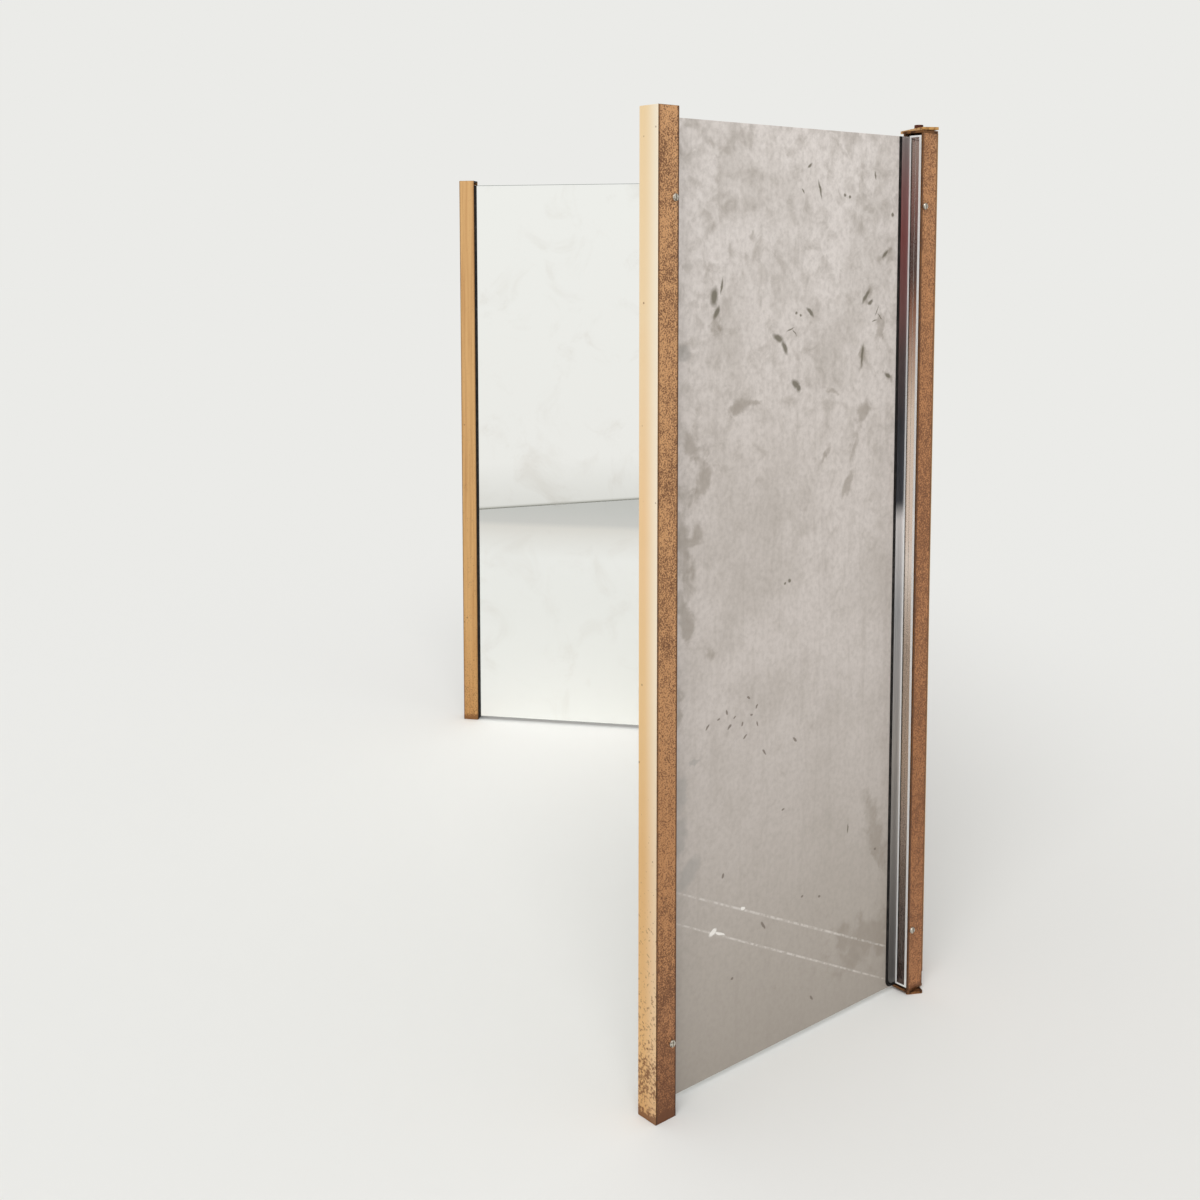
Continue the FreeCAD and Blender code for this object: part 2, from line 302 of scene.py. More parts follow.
def lay(tree, under, pattern, start, full, share, code, fade="LINEAR"):
    """Lay a colour over another: none where a pattern is at its start, a share where it is full."""
    cover = wire(tree, "MapRange", {"Value": pattern, "From Min": start, "From Max": full, "To Max": share},
                 interpolation_type=fade).outputs["Result"]
    return wire(tree, "Mix", {0: cover, 6: under, 7: colour(code)}, data_type="RGBA").outputs[2]


# Semi-gloss grey paint: a soft taupe, hazy at a hand's width and lumpy at a finger's width, with
# wiping streaks, painted shade that darkens it towards the floor with a little grime, and a sprayed
# grain that breaks the shine. The grain is drawn coarser than it is so that it shows.
grey_paint, tree, surface, spot = finish_named("semi-gloss grey paint", IOR=1.48)
cloud = wire(tree, "TexNoise", {"Vector": spot, "Scale": 1 / paint_cloud, "Detail": 6.0,
                                "Roughness": 0.6}).outputs["Fac"]
lump = wire(tree, "TexNoise", {"Vector": spot, "Scale": 1 / paint_lump, "Detail": 5.0,
                               "Roughness": 0.6, "Distortion": 0.5}).outputs["Fac"]
mottle = wire(tree, "TexNoise", {"Vector": spot, "Scale": 1 / paint_mottle, "Detail": 4.0,
                                 "Roughness": 0.6}).outputs["Fac"]
grain = wire(tree, "TexNoise", {"Vector": spot, "Scale": 1 / paint_grain, "Detail": 2.0}).outputs["Fac"]
streak = upright_lines(tree, spot, paint_streak, paint_streak_run, Detail=4.0, Roughness=0.6, Distortion=0.6)
height = wire(tree, "SeparateXYZ", {"Vector": spot}).outputs["Z"]
# Painted shade: the paint is drawn darker from the top down towards the floor, with a little grime.
tone = shades_along(tree, height, (
    (0.0, "#a0978d"), (0.1, "#aea59c"), (0.2, "#beb5ae"), (0.33, "#ccc3bd"), (0.5, "#d3cac4"),
    (0.66, "#dfd7d2"), (0.75, "#e4dcd7")))
tone = lay(tree, tone, cloud, start=0.45, full=0.7, share=0.45, code="#aca39a", fade="SMOOTHSTEP")
# The lumps show most on the upper half.
smoke = wire(tree, "MapRange", {"Value": lump, "From Min": 0.42, "From Max": 0.74, "To Max": 0.55},
             interpolation_type="SMOOTHSTEP").outputs["Result"]
upper = wire(tree, "MapRange", {"Value": height, "From Min": 0.3, "From Max": 0.6, "To Min": 0.3},
             interpolation_type="SMOOTHSTEP").outputs["Result"]
smoke = wire(tree, "Math", {0: smoke, 1: upper}, operation="MULTIPLY").outputs[0]
tone = wire(tree, "Mix", {0: smoke, 6: tone, 7: colour("#a0978d")}, data_type="RGBA").outputs[2]
tone = lay(tree, tone, mottle, start=0.4, full=0.72, share=0.3, code="#928980")
tone = lay(tree, tone, streak, start=0.52, full=0.76, share=0.22, code="#978e84")
dot = specks(tree, spot, paint_dot_spacing, paint_dot_size, core=0.4, bare=0.75, strength=0.6)
tone = wire(tree, "Mix", {0: dot, 6: tone, 7: colour("#6a6157")}, data_type="RGBA").outputs[2]
# The marks' outlines are bent. The lumps break up the smears, and the mottle the painted floor-line
# reflections.
wander = wire(tree, "TexNoise", {"Vector": spot, "Scale": 1 / bend_reach, "Detail": 3.0}).outputs["Color"]
wander = wire(tree, "VectorMath", {0: wander, 1: (0.5, 0.5, 0.5)}, operation="SUBTRACT").outputs[0]
loose = wire(tree, "VectorMath", {0: wander, 1: [smear_bend] * 3, 2: spot},
             operation="MULTIPLY_ADD").outputs[0]
neat = wire(tree, "VectorMath", {0: wander, 1: [stroke_bend] * 3, 2: spot},
            operation="MULTIPLY_ADD").outputs[0]
smear = marks(tree, loose, brown_smears)
smear = wire(tree, "Math", {0: smear, 1: 0.55, 2: lump}, operation="MULTIPLY_ADD").outputs[0]
tone = lay(tree, tone, smear, start=0.62, full=0.95, share=0.5, code="#8a7f72", fade="SMOOTHSTEP")
blot = marks(tree, loose, grey_blots)
tone = lay(tree, tone, blot, start=0.05, full=0.5, share=0.4, code="#928f8b", fade="SMOOTHSTEP")
stroke = marks(tree, neat, olive_strokes)
tone = lay(tree, tone, stroke, start=0.02, full=0.55, share=0.9, code="#6a6353")
dash = marks(tree, neat, brown_dashes)
tone = lay(tree, tone, dash, start=0.06, full=0.4, share=0.8, code="#6b5f54")
# Painted reflection of two pale floor lines, broken up by the mottle.
floor_line_reflection = marks(tree, spot, reflected_floor_lines)
floor_line_reflection = wire(tree, "MapRange", {"Value": floor_line_reflection, "From Min": 0.1, "From Max": 0.6,
                                "To Max": 0.5}).outputs["Result"]
broken = wire(tree, "MapRange", {"Value": mottle, "From Min": 0.38, "From Max": 0.6}).outputs["Result"]
floor_line_reflection = wire(tree, "Math", {0: floor_line_reflection, 1: broken}, operation="MULTIPLY").outputs[0]
tone = wire(tree, "Mix", {0: floor_line_reflection, 6: tone, 7: colour("#e9e3dd")}, data_type="RGBA").outputs[2]
# Painted reflection of pale flecks along the floor lines.
reflected_fleck = marks(tree, neat, reflected_pale_flecks)
tone = lay(tree, tone, reflected_fleck, start=0.06, full=0.4, share=0.85, code="#f4f0ea")
dull = wire(tree, "MapRange", {"Value": lump, "From Min": 0.3, "From Max": 0.7,
                               "To Min": 0.3, "To Max": 0.5}).outputs["Result"]
relief = wire(tree, "Bump", {"Height": grain, "Strength": 0.25, "Distance": 0.0001}).outputs["Normal"]
tree.links.new(tone, surface.inputs["Base Color"])
tree.links.new(dull, surface.inputs["Roughness"])
tree.links.new(relief, surface.inputs["Normal"])

for body, panel in panels.items():
    node = body + "_back_sheet"
    sheet = block(*room_for(node, places[panel]))
    soften(sheet, sheet.edges, paint_corner)
    hang(sheet, body + "_painted_back", places[panel], body, node, [grey_paint])


# Edge seals. Black rubber edging folded round each upright edge of a pane, short at the front
# and with a long lip at the back that is cut round at the foot. It is pushed on by hand and is
# held by the strip and the channel.

seal_web = 0.001
seal_lip = 0.0004
seal_front_reach = 0.0035
seal_corner = 0.007
rubber_dust_patch = 0.006

# An edge is drawn with its channel's web at low x and its mouth towards the middle of the panel.
upright_edges = {
    "centre_left": ("centre", places["centre_left"]),
    "centre_right": ("centre", places["centre_right"]),
}
for wing in joints:
    hinge_side = room_for(wing + "_hinge_channel", places[wing])[0].x
    free_side = room_for(wing + "_free_channel", places[wing])[1].x
    upright_edges[wing + "_hinge"] = (wing, places[wing])
    swung = places[wing] @ Matrix.Translation((hinge_side + free_side, 0, 0)) @ flip
    upright_edges[wing + "_free"] = (wing, swung)


def folded_section(low, high, front_reach, web, lip):
    """A strip folded to a U round an upright edge, its web at low x and its long leg at the back."""
    outline = ((low.x, low.y), (front_reach, low.y), (front_reach, low.y + lip), (low.x + web, low.y + lip),
               (low.x + web, high.y - lip), (high.x, high.y - lip), (high.x, high.y), (low.x, high.y))
    shape = bmesh.new()
    face = shape.faces.new([shape.verts.new((x, y, low.z)) for x, y in outline])
    grown = bmesh.ops.extrude_face_region(shape, geom=[face])["geom"]
    top = [part for part in grown if isinstance(part, bmesh.types.BMVert)]
    bmesh.ops.translate(shape, verts=top, vec=(0, 0, high.z - low.z))
    bmesh.ops.recalc_face_normals(shape, faces=shape.faces)
    return shape


def edges_along(shape, axis, wanted):
    """The straight edges of a shape along x, y or z whose middle is wanted."""
    found = []
    for edge in shape.edges:
        run = edge.verts[1].co - edge.verts[0].co
        middle = (edge.verts[0].co + edge.verts[1].co) / 2
        if abs(getattr(run, axis)) > straight_on * run.length and wanted(middle):
            found.append(edge)
    return found


# Black rubber: nearly black and matt, greyed here and there by dust.
rubber, tree, surface, spot = finish_named("black edging rubber", IOR=1.5, Roughness=0.6,
                                           Specular_IOR_Level=0.25)
dust = wire(tree, "TexNoise", {"Vector": spot, "Scale": 1 / rubber_dust_patch, "Detail": 4.0}).outputs["Fac"]
dust = wire(tree, "MapRange", {"Value": dust, "From Min": 0.5, "From Max": 0.8}).outputs["Result"]
tone = wire(tree, "Mix", {0: dust, 6: colour("#120f0e"), 7: colour("#35302d")}, data_type="RGBA").outputs[2]
tree.links.new(tone, surface.inputs["Base Color"])

for edge, (body, place) in upright_edges.items():
    node = edge + "_edge_seal"
    low, high = room_for(node, place)
    mouth = room_for(edge + "_channel", place)[1].x
    seal = folded_section(low, high, mouth + seal_front_reach, seal_web, seal_lip)
    foot_corner = edges_along(seal, "y", lambda p: p.x > high.x - seal_web and p.z < low.z + seal_web)
    soften(seal, foot_corner, seal_corner, segments=6)
    hang(seal, edge + "_rubber_edging", place, body, node, [rubber])


# Clamp strips. Flat chromed strips, round at the foot, that lie on the rubber behind the pane
# and spread the pressure of the retainers.

strip_corner = 0.005
strip_edge = 0.00015
chrome_scratch = 0.0008
chrome_scratch_run = 0.12
sharp_angle = math.radians(70)


def sharp_edges(shape):
    """The edges where two faces meet at about a right angle."""
    return [edge for edge in shape.edges if edge.calc_face_angle(0) > sharp_angle]


# Chrome with a painted reflection up its height: bright at half height, brown-red above and grey
# below, with upright wiping lines that are drawn coarser than they are so that they show.
chrome_with_painted_reflection, tree, surface, spot = finish_named("chrome with painted reflection", Metallic=0.3, Roughness=0.3)
height = wire(tree, "SeparateXYZ", {"Vector": spot}).outputs["Z"]
tone = shades_along(tree, height, (
    (0.0, "#5c5a58"), (0.06, "#726e6b"), (0.14, "#98938e"), (0.22, "#b4aea8"), (0.34, "#b5b4b5"),
    (0.42, "#e6e1df"), (0.435, "#3d4046"), (0.50, "#34363c"), (0.56, "#5a4a49"), (0.60, "#7c5350"),
    (0.66, "#8a4e4c"), (0.70, "#906462"), (0.745, "#938b88")))
lines = upright_lines(tree, spot, chrome_scratch, chrome_scratch_run, Detail=3.0)
tone = lay(tree, tone, lines, start=0.45, full=0.75, share=0.35, code="#57504d")
tree.links.new(tone, surface.inputs["Base Color"])

for edge, (body, place) in upright_edges.items():
    node = edge + "_clamp_strip"
    low, high = room_for(node, place)
    middle = (low + high) / 2
    strip = block(low, high)
    foot_corner = edges_along(strip, "y", lambda p: p.x > middle.x and p.z < middle.z)
    soften(strip, foot_corner, strip_corner, segments=6)
    soften(strip, sharp_edges(strip), strip_edge)
    hang(strip, edge + "_chromed_strip", place, body, node, [chrome_with_painted_reflection])


# Retainers. Chromed channels with closed ends that fill the brass channels behind the strips.
# Their two fins show as bright lines on each side of a deep groove, and the screws bite into
# the back fin.

retainer_back_fin = 0.0022
retainer_front_fin = 0.0016
retainer_web = 0.0022
retainer_end_wall = 0.0016
retainer_edge = 0.0002
chrome_soil_patch = 0.007
fin_brushing = 0.0006

# Chrome plate: a hard, bright reflection with fine upright wiping lines and a few brown soil
# specks, greyed towards the foot.
chrome, tree, surface, spot = finish_named("chrome plate", Metallic=1.0)
height = wire(tree, "SeparateXYZ", {"Vector": spot}).outputs["Z"]
tone = shades_along(tree, height, (
    (0.0, "#bdb7b4"), (0.06, "#c8c2bf"), (0.10, "#d1cac5"), (0.14, "#ddd6d1"), (0.20, "#e4dcd5"),
    (0.30, "#e5ded8"), (0.38, "#f8f4f1"), (0.52, "#f8f4f0"), (0.745, "#f4f0ee")))
soil = wire(tree, "TexNoise", {"Vector": spot, "Scale": 1 / chrome_soil_patch, "Detail": 6.0,
                               "Roughness": 0.7}).outputs["Fac"]
tone = lay(tree, tone, soil, start=0.66, full=0.76, share=0.5, code="#a58f7c", fade="SMOOTHSTEP")
lines = upright_lines(tree, spot, chrome_scratch, chrome_scratch_run, Detail=3.0)
dull = wire(tree, "MapRange", {"Value": lines, "From Min": 0.3, "From Max": 0.7,
                               "To Min": 0.03, "To Max": 0.09}).outputs["Result"]
tree.links.new(tone, surface.inputs["Base Color"])
tree.links.new(dull, surface.inputs["Roughness"])

# Brushed chrome on the fin ends: a soft white line without a clear reflection.
brushed, tree, surface, spot = finish_named("brushed chrome", Metallic=0.3, Roughness=0.42)
lines = wire(tree, "TexNoise", {"Vector": spot, "Scale": 1 / fin_brushing, "Detail": 3.0}).outputs["Fac"]
tone = wire(tree, "Mix", {0: lines, 6: colour("#d9d8d6"), 7: colour("#ffffff")}, data_type="RGBA").outputs[2]
tree.links.new(tone, surface.inputs["Base Color"])

across = Vector((0, 1, 0))
upward = Vector((0, 0, 1))
for edge, (body, place) in upright_edges.items():
    node = edge + "_retainer"
    low, high = room_for(node, place)
    bar = block(low, high)
    cuts = ((low.y + retainer_front_fin, across), (high.y - retainer_back_fin, across),
            (low.z + retainer_end_wall, upward), (high.z - retainer_end_wall, upward))
    for reach, direction in cuts:
        everything = bar.verts[:] + bar.edges[:] + bar.faces[:]
        bmesh.ops.bisect_plane(bar, geom=everything, plane_co=reach * direction, plane_no=direction)
    bar.normal_update()
    open_side = [face for face in bar.faces if face.normal.x > straight_on]
    mouth = max(open_side, key=lambda face: face.calc_area())
    sunk = bmesh.ops.extrude_face_region(bar, geom=[mouth])["geom"]
    bmesh.ops.delete(bar, geom=[mouth], context="FACES_ONLY")
    groove_floor = [part for part in sunk if isinstance(part, bmesh.types.BMVert)]
    bmesh.ops.translate(bar, verts=groove_floor, vec=(low.x + retainer_web - high.x, 0, 0))
    bmesh.ops.recalc_face_normals(bar, faces=bar.faces)
    soften(bar, sharp_edges(bar), retainer_edge)
    for face in bar.faces:
        face.material_index = 1 if face.calc_center_median().x > high.x - retainer_edge else 0
    hang(bar, edge + "_chromed_retainer", place, body, node, [chrome, brushed])


# Brass channels. Square channels folded from 1.5 mm brass sheet grip the upright edges of each
# panel and carry the whole mirror on their ends. The lacquer on their webs still shines, while
# handling and damp have speckled the flanges brown.

channel_wall = 0.0015
channel_corner = 0.0008
channel_burr = 0.00025
brass_patch = 0.03
brass_drift = 0.1
brass_blotch = 0.006
brass_wipe = 0.003
brass_wipe_run = 0.14
brass_wipe_tone = "#a2622f"
brass_rim_tone = "#4c2c17"
brass_pit_spacing = 0.011
brass_pit_size = 0.0013
foot_dirt_rise = 0.009

# A rounded corner counts as web while this share of its direction is the web's.
web_lean = 0.6


def brass(name, speck_size, ground, back_tone_and_highlight, stain, cover, clean=0.0, rims=0.0, wiped=0.0,
          metal=0.75, shine=0.42):
    """Lacquered brass; ground colours and the specks' cover follow the height, rims the section."""
    material, tree, surface, spot = finish_named(name)
    section = wire(tree, "UVMap", {}, uv_map="section").outputs["UV"]
    section = wire(tree, "SeparateXYZ", {"Vector": section})
    height = wire(tree, "SeparateXYZ", {"Vector": spot}).outputs["Z"]
    patch = wire(tree, "TexNoise", {"Vector": spot, "Scale": 1 / brass_patch, "Detail": 5.0,
                                    "Roughness": 0.6}).outputs["Fac"]
    blotch = wire(tree, "TexNoise", {"Vector": spot, "Scale": 1 / brass_blotch, "Detail": 4.0,
                                     "Roughness": 0.6}).outputs["Fac"]
    speck = wire(tree, "TexNoise", {"Vector": spot, "Scale": 1 / speck_size, "Detail": 2.0,
                                    "Roughness": 0.5}).outputs["Fac"]
    # Patches carry the heights of the stops up and down, by half of the drift each way.
    drift = wire(tree, "Math", {0: patch, 1: brass_drift, 2: height}, operation="MULTIPLY_ADD").outputs[0]
    tone = shades_along(tree, drift, [(reach + brass_drift / 2, code) for reach, code in ground])
    # Towards the back of the section the colour turns to the back tone and highlight, less so near the foot.
    # Across a web this paints a highlight towards its back corner; on a back flange it tints its own colour.
    shift = wire(tree, "MapRange", {"Value": section.outputs["Y"], "From Min": 0.25, "To Max": 0.65},
                 interpolation_type="SMOOTHSTEP").outputs["Result"]
    rise = wire(tree, "MapRange", {"Value": height, "From Min": 0.02, "From Max": 0.35,
                                   "To Min": 0.2}).outputs["Result"]
    shift = wire(tree, "Math", {0: shift, 1: rise}, operation="MULTIPLY").outputs[0]
    tone = wire(tree, "Mix", {0: shift, 6: tone, 7: colour(back_tone_and_highlight)}, data_type="RGBA").outputs[2]
    # Upright wiping has drawn the tarnish out into reddish lines.
    wipe = upright_lines(tree, spot, brass_wipe, brass_wipe_run, Detail=3.0, Roughness=0.6)
    tone = lay(tree, tone, wipe, start=0.42, full=0.7, share=wiped, code=brass_wipe_tone)
    # A grey of the cover ramp moves the specks' threshold: black is clean, white is covered.
    spread = shades_along(tree, drift, [(reach + brass_drift / 2, code) for reach, code in cover])
    spread = wire(tree, "Math", {0: patch, 1: 0.3, 2: spread}, operation="MULTIPLY_ADD").outputs[0]
    spread = wire(tree, "Math", {0: blotch, 1: 0.4, 2: spread}, operation="MULTIPLY_ADD").outputs[0]
    foot = wire(tree, "MapRange", {"Value": height, "From Min": foot_dirt_rise, "From Max": 0.0,
                                   "To Max": 0.5}).outputs["Result"]
    spread = wire(tree, "Math", {0: spread, 1: foot}, operation="ADD").outputs[0]
    spread = wire(tree, "Math", {0: spread, 1: clean}, operation="SUBTRACT").outputs[0]
    spread = wire(tree, "Math", {0: spread, 1: speck}, operation="ADD").outputs[0]
    speck = wire(tree, "MapRange", {"Value": spread, "From Min": 1.0, "From Max": 1.2,
                                    "To Max": 0.82}).outputs["Result"]
    pit = specks(tree, spot, brass_pit_spacing, brass_pit_size, core=0.2, bare=0.55, strength=0.8,
                 fade="SMOOTHSTEP")
    tarnish = wire(tree, "Math", {0: speck, 1: pit}, operation="MAXIMUM").outputs[0]
    tone = wire(tree, "Mix", {0: tarnish, 6: tone, 7: colour(stain)}, data_type="RGBA").outputs[2]
    # The rims of a flange are drawn darker.
    rim = wire(tree, "Math", {0: section.outputs["X"], 1: 0.5}, operation="SUBTRACT").outputs[0]
    rim = wire(tree, "Math", {0: rim}, operation="ABSOLUTE").outputs[0]
    tone = lay(tree, tone, rim, start=0.39, full=0.46, share=rims, code=brass_rim_tone)
    dull = wire(tree, "MapRange", {"Value": tarnish, "To Min": shine, "To Max": 0.6}).outputs["Result"]
    bare = wire(tree, "MapRange", {"Value": tarnish, "To Min": metal, "To Max": 0.35}).outputs["Result"]
    relief = wire(tree, "Bump", {"Height": tarnish, "Strength": 0.2, "Distance": -0.0001}).outputs["Normal"]
    tree.links.new(tone, surface.inputs["Base Color"])
    tree.links.new(dull, surface.inputs["Roughness"])
    tree.links.new(bare, surface.inputs["Metallic"])
    tree.links.new(relief, surface.inputs["Normal"])
    return material


# Lacquered brass on the free webs: smooth, pale satin gold with a few pits, a brown, spotted foot,
# and a painted highlight towards the back corner.
web_brass = brass(
    "lacquered brass", speck_size=0.0021, back_tone_and_highlight="#fff8e8", stain="#6c3d1b", clean=0.2, metal=0.6, shine=0.3,
    ground=((0.0, "#d8a86e"), (0.06, "#e2b47a"), (0.2, "#e2b67d"), (0.32, "#edc792"), (0.45, "#f3cd9c"),
            (0.6, "#f6dab0"), (0.74, "#f6d9ac")),
    cover=((0.0, "#a0a0a0"), (0.035, "#b4b4b4"), (0.06, "#9a9a9a"), (0.1, "#909090"), (0.18, "#7c7c7c"),
           (0.26, "#606060"), (0.34, "#202020")))
# Handled brass on the front flanges and the other webs: deeper gold, wiped and lightly freckled.
front_brass = brass(
    "handled brass", speck_size=0.0012, back_tone_and_highlight="#dcb079", stain="#74481f", clean=0.1, rims=0.3, wiped=0.4,
    shine=0.36, ground=((0.0, "#cb9a62"), (0.15, "#dcae74"), (0.74, "#dcb079")),
    cover=((0.0, "#909090"), (0.12, "#6c6c6c"), (0.74, "#505050")))
# Tarnished brass on the free channels' back flanges: brown specks on a tan ground.
free_brass = brass(
    "tarnished brass", speck_size=0.0011, back_tone_and_highlight="#cf9c6c", stain="#5c331a", rims=0.85, wiped=0.15,
    ground=((0.0, "#a06a45"), (0.07, "#b47d55"), (0.13, "#bd875b"), (0.25, "#b98459"), (0.36, "#cf9c6e"),
            (0.45, "#dfac7b"), (0.74, "#f5c190")),
    cover=((0.0, "#a0a0a0"), (0.07, "#8a8a8a"), (0.1, "#949494"), (0.16, "#7c7c7c"), (0.25, "#767676"),
           (0.4, "#888888"), (0.74, "#808080")))
# Reddened brass on the other back flanges: redder and darker, specked all the way up.
hinge_brass = brass(
    "reddened brass", speck_size=0.0012, back_tone_and_highlight="#c48b5d", stain="#6a3f22", rims=0.85, wiped=0.2,
    ground=((0.0, "#bd8357"), (0.2, "#a26b43"), (0.45, "#c08457"), (0.6, "#cf9869"), (0.74, "#dfae80")),
    cover=((0.0, "#868686"), (0.3, "#929292"), (0.74, "#868686")))
# Brass on the folds and cut edges: drawn dark.
edge_brass = brass(
    "brass at the folds", speck_size=0.001, back_tone_and_highlight="#855a30", stain="#3f2410", metal=0.7, shine=0.45,
    ground=((0.0, "#7d5229"), (0.74, "#8f6336")), cover=((0.0, "#909090"), (0.74, "#7c7c7c")))


def dress_brass(shape, low, high):
    """Give each face the brass of its side (web, front, back or edge), and a place across the section."""
    section = shape.loops.layers.uv.new("section")
    span = high - low
    for face in shape.faces:
        if face.normal.x < -web_lean:
            face.material_index = 0
        elif face.normal.y < -straight_on:
            face.material_index = 1
        elif face.normal.y > straight_on or face.normal.x > straight_on:
            face.material_index = 2
        else:
            face.material_index = 3
        for loop in face.loops:
            offset = loop.vert.co - low
            loop[section].uv = (offset.x / span.x, offset.y / span.y)


for edge, (body, place) in upright_edges.items():
    node = edge + "_channel"
    low, high = room_for(node, place)
    channel = folded_section(low, high, high.x, channel_wall, channel_wall)
    corners = edges_along(channel, "z", lambda p: p.x < low.x + channel_corner)
    soften(channel, corners, channel_corner, segments=4)
    soften(channel, sharp_edges(channel), channel_burr, segments=1)
    dress_brass(channel, low, high)
    free = edge.endswith("free")
    hang(channel, edge + "_brass_channel", place, body, node,
         [web_brass if free else front_brass, front_brass, free_brass if free else hinge_brass, edge_brass])


# Plugs of the free channels. Black rubber blanks, cut to the inside of a channel and pressed
# flush into its open ends. They keep their CAD shape and take the edging's rubber.

for wing in joints:
    for end in ("lower", "upper"):
        plug = frame["nodes"][f"{wing}_{end}_end_cap"]
        plug.data.materials.clear()
        plug.data.materials.append(rubber)


# Screws. Slotted round-head steel screws, nickel plated, driven through the back flanges into
# the retainers. They keep their CAD shape.

screw_soil_patch = 0.0016

# Worn nickel plate: a warm pale shine, dulled by brown soil in patches of a millimetre or two.
nickel, tree, surface, spot = finish_named("worn nickel plate", Metallic=1.0)
soil = wire(tree, "TexNoise", {"Vector": spot, "Scale": 1 / screw_soil_patch, "Detail": 4.0}).outputs["Fac"]
soil = wire(tree, "MapRange", {"Value": soil, "From Min": 0.4, "From Max": 0.75}).outputs["Result"]
tone = wire(tree, "Mix", {0: soil, 6: colour("#d5cfc3"), 7: colour("#5c4f42")}, data_type="RGBA").outputs[2]
dull = wire(tree, "MapRange", {"Value": soil, "To Min": 0.18, "To Max": 0.5}).outputs["Result"]
tree.links.new(tone, surface.inputs["Base Color"])
tree.links.new(dull, surface.inputs["Roughness"])

for owner in ("right_wing", "left_wing", "centre_left", "centre_right"):
    screws = frame["nodes"][owner + "_screws"]
    screws.data.materials.clear()
    screws.data.materials.append(nickel)


# Hinges. Brass straps on the ends of the centre's channels reach out under and over the wings,
# whose own brass plates turn on them about short bronze pins. The upper pins have round heads.
# All of them keep their CAD shape.

bronze_patch = 0.003
strap_patch = 0.004

# Dark bronze: a brown-black patina with redder, smoother patches.
bronze, tree, surface, spot = finish_named("dark bronze", Metallic=0.85)
patch = wire(tree, "TexNoise", {"Vector": spot, "Scale": 1 / bronze_patch, "Detail": 4.0}).outputs["Fac"]
patch = wire(tree, "MapRange", {"Value": patch, "From Min": 0.35, "From Max": 0.7}).outputs["Result"]
tone = wire(tree, "Mix", {0: patch, 6: colour("#3c2018"), 7: colour("#6e4030")}, data_type="RGBA").outputs[2]
dull = wire(tree, "MapRange", {"Value": patch, "To Min": 0.3, "To Max": 0.55}).outputs["Result"]
tree.links.new(tone, surface.inputs["Base Color"])
tree.links.new(dull, surface.inputs["Roughness"])


def strap_brass(name, ground, stain):
    """Plain worn brass of the hinge pieces, stained in small patches."""
    material, tree, surface, spot = finish_named(name, Metallic=0.8)
    patch = wire(tree, "TexNoise", {"Vector": spot, "Scale": 1 / strap_patch, "Detail": 5.0,
                                    "Roughness": 0.65}).outputs["Fac"]
    patch = wire(tree, "MapRange", {"Value": patch, "From Min": 0.45, "From Max": 0.66},
                 interpolation_type="SMOOTHSTEP").outputs["Result"]
    tone = wire(tree, "Mix", {0: patch, 6: colour(ground), 7: colour(stain)}, data_type="RGBA").outputs[2]
    dull = wire(tree, "MapRange", {"Value": patch, "To Min": 0.34, "To Max": 0.6}).outputs["Result"]
    tree.links.new(tone, surface.inputs["Base Color"])
    tree.links.new(dull, surface.inputs["Roughness"])
    return material


# Worn brass on the upper straps: gold where fingers rub it, brown between.
worn_brass = strap_brass("worn brass", "#cf9f60", "#85572f")
# Darker brass on the lower straps: dark brown.
darker_strap_brass = strap_brass("darker strap brass", "#9a6a42", "#472c1a")
# Dark brass on the wing's hinge plates, which stay in the straps' shade.
shaded_brass = strap_brass("shaded brass", "#7a5230", "#412718")

hinge_finish = {
    "upper_hinge_strap": worn_brass, "lower_hinge_strap": darker_strap_brass,
    "upper_hinge_plate": shaded_brass, "lower_hinge_plate": shaded_brass,
    "upper_pivot_pin": bronze, "lower_pivot_pin": bronze,
    "upper_washer": bronze, "lower_washer": bronze,
}
for owner in ("right_wing", "left_wing", "centre_left", "centre_right"):
    for piece, material in hinge_finish.items():
        node = frame["nodes"].get(f"{owner}_{piece}")
        if node:
            node.data.materials.clear()
            node.data.materials.append(material)


# Floor. A plain studio floor, painted a pale matt grey, that runs out of sight on every side.
# The mirror stands on it and throws a soft shadow.

floor_reach = 40.0
backdrop_colour = "#ebebe8"

# Pale matt paint: the backdrop's own colour without any shine, so that floor and backdrop meet unseen.
pale, tree, surface, spot = finish_named("pale matt floor", Roughness=1.0, Specular_IOR_Level=0.0)
surface.inputs["Base Color"].default_value = colour(backdrop_colour)
ground = bmesh.new()
bmesh.ops.create_grid(ground, x_segments=1, y_segments=1, size=floor_reach)
floor_mesh = bpy.data.meshes.new("studio_floor")
ground.to_mesh(floor_mesh)
ground.free()
floor_mesh.materials.append(pale)
floor = bpy.data.objects.new("studio_floor", floor_mesh)
bpy.context.scene.collection.objects.link(floor)


# Light. An even pale surround, and one broad soft lamp high beside the viewer that makes up what
# the surround leaves, so that a level white surface renders white. Where the surround is seen, it
# shows the backdrop's colour.

ambient = 0.68
lamp_lift = math.radians(46)
lamp_turn = math.radians(-112)
lamp_spread = math.radians(40)

